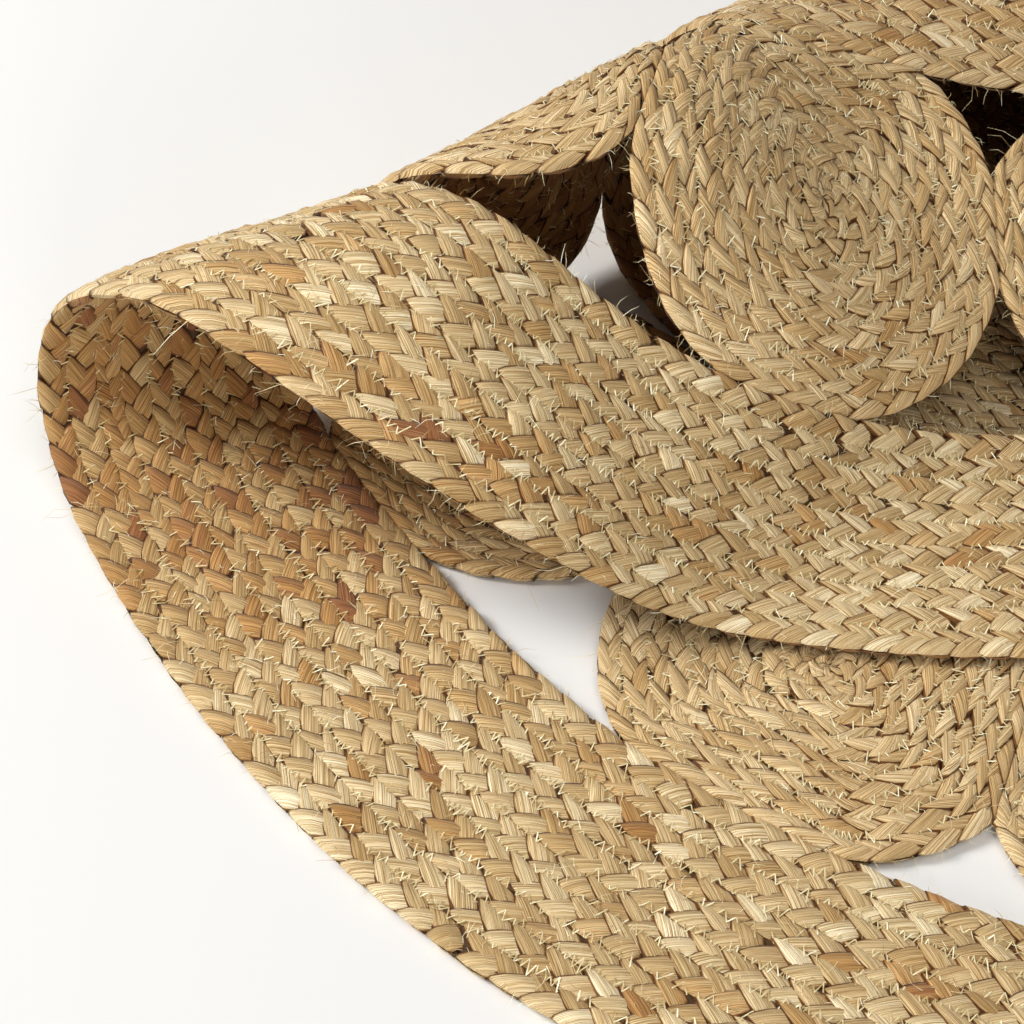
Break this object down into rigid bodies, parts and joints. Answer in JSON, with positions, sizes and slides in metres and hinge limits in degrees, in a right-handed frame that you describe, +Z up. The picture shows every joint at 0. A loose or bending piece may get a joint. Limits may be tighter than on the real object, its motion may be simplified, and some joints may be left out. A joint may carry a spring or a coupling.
{
  "type": "round rug",
  "caption": "Large round rug of flat jute plait, folded over once: a wide coiled border, a ring of coiled discs and a coiled centre piece, sewn edge to edge.",
  "frame": {"origin": "on the floor, under the middle of the folded rug's box", "axes": "+Z up; +X along the fold; +Y from the round front edge towards the fold at the back; the rug's own middle lies at x 0.0008, y 0.3481"},
  "size_m": [1.8016, 1.1038, 0.1981],
  "materials": {
    "jute_border": "coarse matte jute plait, straw and tan with golden and brown patches",
    "jute_discs": "coarse matte jute plait, straw and tan with golden patches",
    "jute_centre": "coarse matte jute plait, straw and tan",
    "seam_thread": "thin twisted jute thread, pale straw, matte",
    "loose_fibre": "single stray jute fibres, pale straw, slightly shiny"
  },
  "bodies": {
    "root": {"outer_ring": "jute_border", "disc_01": "jute_discs", "disc_02": "jute_discs", "disc_03": "jute_discs", "disc_04": "jute_discs", "disc_05": "jute_discs", "disc_06": "jute_discs", "disc_07": "jute_discs", "disc_08": "jute_discs", "disc_09": "jute_discs", "disc_10": "jute_discs", "disc_11": "jute_discs", "disc_12": "jute_discs", "disc_13": "jute_discs", "disc_14": "jute_discs", "disc_15": "jute_discs", "disc_16": "jute_discs", "disc_17": "jute_discs", "centre_disc": "jute_centre"}
  },
  "joints": []
}
